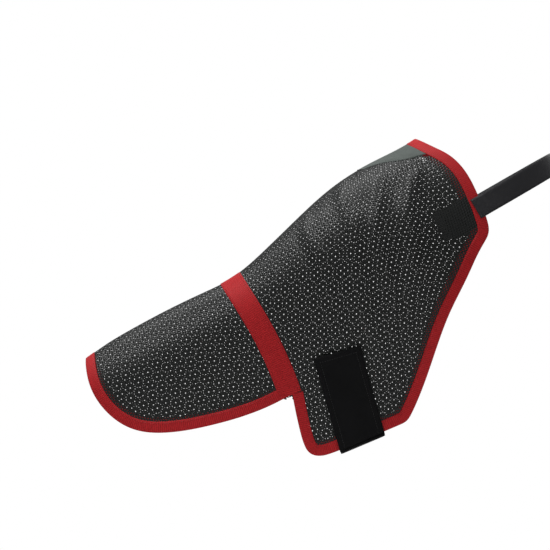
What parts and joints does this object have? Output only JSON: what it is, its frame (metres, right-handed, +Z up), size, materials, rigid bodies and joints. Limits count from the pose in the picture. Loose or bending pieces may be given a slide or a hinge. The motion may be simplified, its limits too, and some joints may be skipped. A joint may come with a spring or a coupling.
{
  "type": "horse fly mask",
  "caption": "See-through net mask for a horse's head with a nose section, a poll strap and a hook-and-loop closure under the jaw.",
  "frame": {"origin": "the poll, the top of the horse's head where the crown edge rests", "axes": "+Z up as worn, -X the way the horse faces, -Y its left side; the line of the head falls 34 degrees towards the nose"},
  "size_m": [0.6757, 0.2264, 0.4501],
  "materials": {
    "net": "open polyester net, matt black with a soft sheen",
    "edge_webbing": "red ribbed polyester webbing",
    "strap_webbing": "black woven webbing",
    "gusset_cloth": "smooth grey-green polyester cloth",
    "seam_tape": "black woven tape",
    "closure_cloth": "flat black nylon",
    "loop_tape": "brushed black loop tape",
    "hook_tape": "black moulded hook tape"
  },
  "bodies": {
    "mask": {"face_mesh_left": "net", "face_mesh_right": "net", "nose_mesh": "net", "crown_gusset": "gusset_cloth", "nose_band": "edge_webbing", "nose_band_lining": "seam_tape", "centre_seam_tape": "seam_tape", "nose_edge_binding": "edge_webbing", "crown_binding": "edge_webbing", "rear_binding_left": "edge_webbing", "rear_binding_right": "edge_webbing", "cheek_binding_left": "edge_webbing", "cheek_binding_right": "edge_webbing", "strap_end_left": "strap_webbing", "strap_end_right": "strap_webbing", "anchor_patch_left": "seam_tape", "anchor_patch_right": "seam_tape", "closure_loop_pad": "loop_tape", "jaw_strap_anchor": "closure_cloth"},
    "poll_strap": {"poll_strap": "strap_webbing"},
    "jaw_strap": {"jaw_strap": "closure_cloth"},
    "closure": {"closure_tab": "closure_cloth", "hook_pad": "hook_tape"}
  },
  "joints": [
    {"name": "poll_strap_swing", "type": "hinge", "parent": "mask", "child": "poll_strap", "pos_m": [0.09513, 0, -0.08919], "axis": [0, -1, 0], "range_deg": [-60, 50]},
    {"name": "jaw_strap_swing", "type": "hinge", "parent": "mask", "child": "jaw_strap", "pos_m": [-0.07255, 0.0475, -0.4246], "axis": [0.9215, 0, 0.3884], "range_deg": [0, 100]},
    {"name": "closure_peel", "type": "hinge", "parent": "jaw_strap", "child": "closure", "pos_m": [-0.07255, -0.0475, -0.4246], "axis": [0.9215, 0, 0.3884], "range_deg": [0, 150]}
  ]
}
